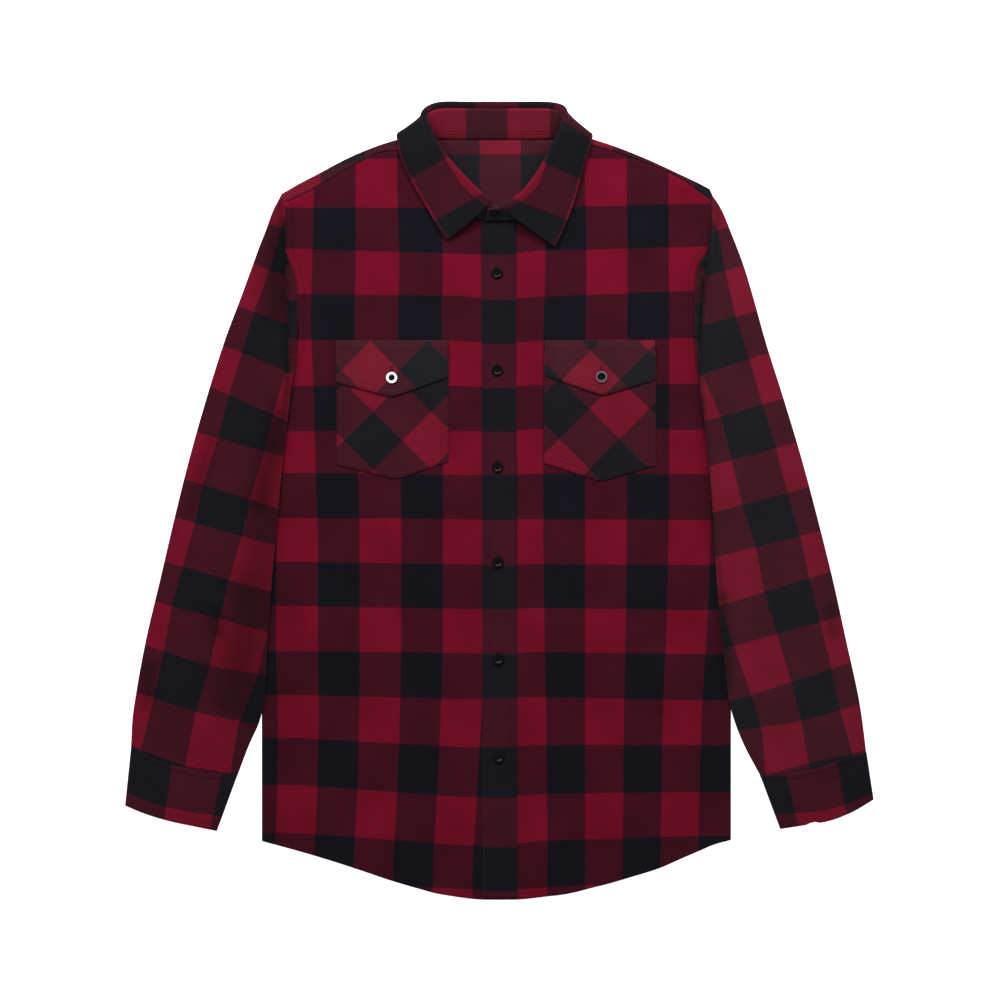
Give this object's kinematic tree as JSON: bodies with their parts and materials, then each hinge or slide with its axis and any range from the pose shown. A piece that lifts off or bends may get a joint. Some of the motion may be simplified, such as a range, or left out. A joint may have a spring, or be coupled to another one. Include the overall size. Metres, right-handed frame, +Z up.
{
  "type": "flannel shirt",
  "caption": "Button-front checked flannel shirt laid flat: turned-down collar, yoke, flap chest pockets, placket, long cuffed sleeves beside the body and a curved shirt-tail hem.",
  "frame": {"origin": "centre of the shirt's outline, on the surface that it lies on", "axes": "+X towards the wearer's left sleeve, +Y from the hem to the collar, +Z up off the surface"},
  "size_m": [0.771, 0.8213, 0.0303],
  "materials": {
    "flannel": "brushed cotton, red and black check",
    "folded_flannel": "brushed cotton, folded double",
    "black_button": "semi-gloss black",
    "rimmed_button": "semi-gloss black with a pale rim"
  },
  "bodies": {
    "root": {"back": "flannel", "yoke": "flannel", "yoke_lining": "folded_flannel", "front_right": "flannel", "front_left": "flannel", "sleeve_right": "flannel", "sleeve_left": "flannel", "cuff_right": "folded_flannel", "cuff_left": "folded_flannel", "placket": "folded_flannel", "collar_stand": "folded_flannel", "collar_leaf": "flannel", "pocket_right": "flannel", "pocket_left": "flannel", "flap_right": "folded_flannel", "flap_left": "folded_flannel", "button_front_1": "black_button", "button_front_2": "black_button", "button_front_3": "black_button", "button_front_4": "black_button", "button_front_5": "black_button", "button_front_6": "black_button", "button_collar": "black_button", "button_pocket_right": "rimmed_button", "button_pocket_left": "rimmed_button"}
  },
  "joints": []
}
